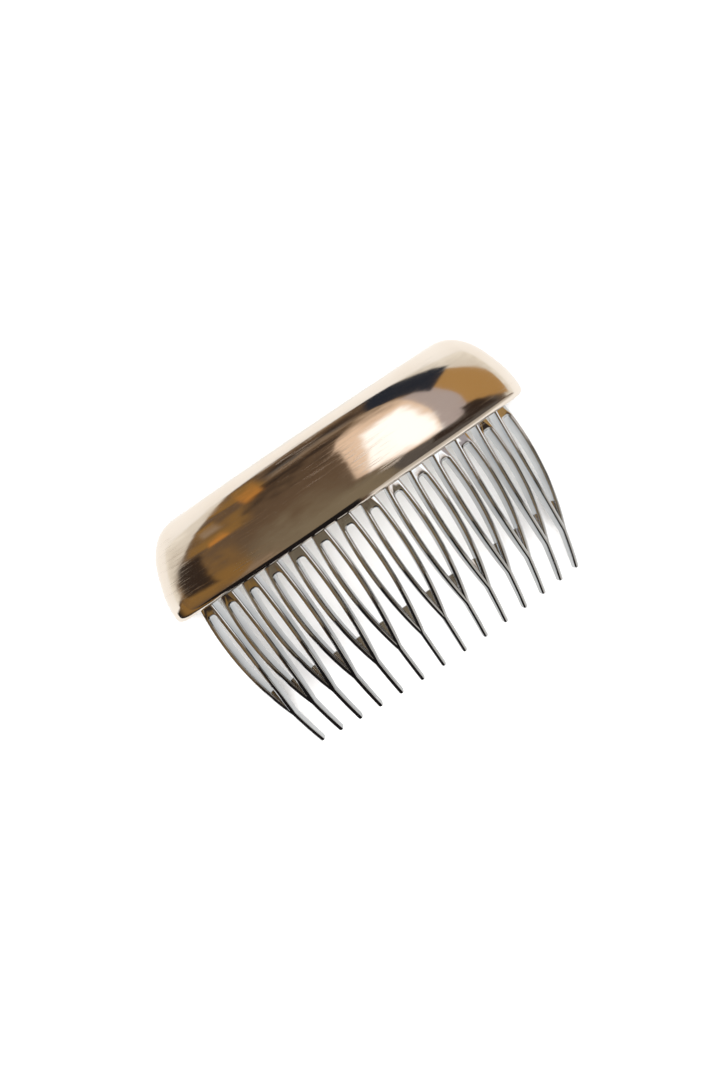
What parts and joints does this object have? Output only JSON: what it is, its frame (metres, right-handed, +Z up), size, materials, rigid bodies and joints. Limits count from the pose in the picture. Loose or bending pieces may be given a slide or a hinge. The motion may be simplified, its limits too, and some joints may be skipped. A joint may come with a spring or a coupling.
{
  "type": "hair side comb",
  "caption": "Arched hair side comb: forked, curved teeth on a bar fixed behind a domed, polished metal cover with rolled lip and slanted, rolled ends.",
  "frame": {"origin": "centre of the bounding box in X and Y, on the surface that the comb rests on, hollow side down", "axes": "+X along the arch, end to end; -Y the way the teeth point; +Z up, out of the domed cover's front"},
  "size_m": [0.0882, 0.057, 0.0209],
  "materials": {
    "cover_metal": "mirror polished, pale gold plating with fine scratches",
    "comb_plating": "bright silver plating over a moulded comb",
    "back_metal": "satin, pale gold plating",
    "fixing_metal": "plain, peened"
  },
  "bodies": {
    "root": {"dome_shell": "cover_metal", "comb": "comb_plating", "back_plate": "back_metal", "studs": "fixing_metal", "washers": "fixing_metal"}
  },
  "joints": []
}
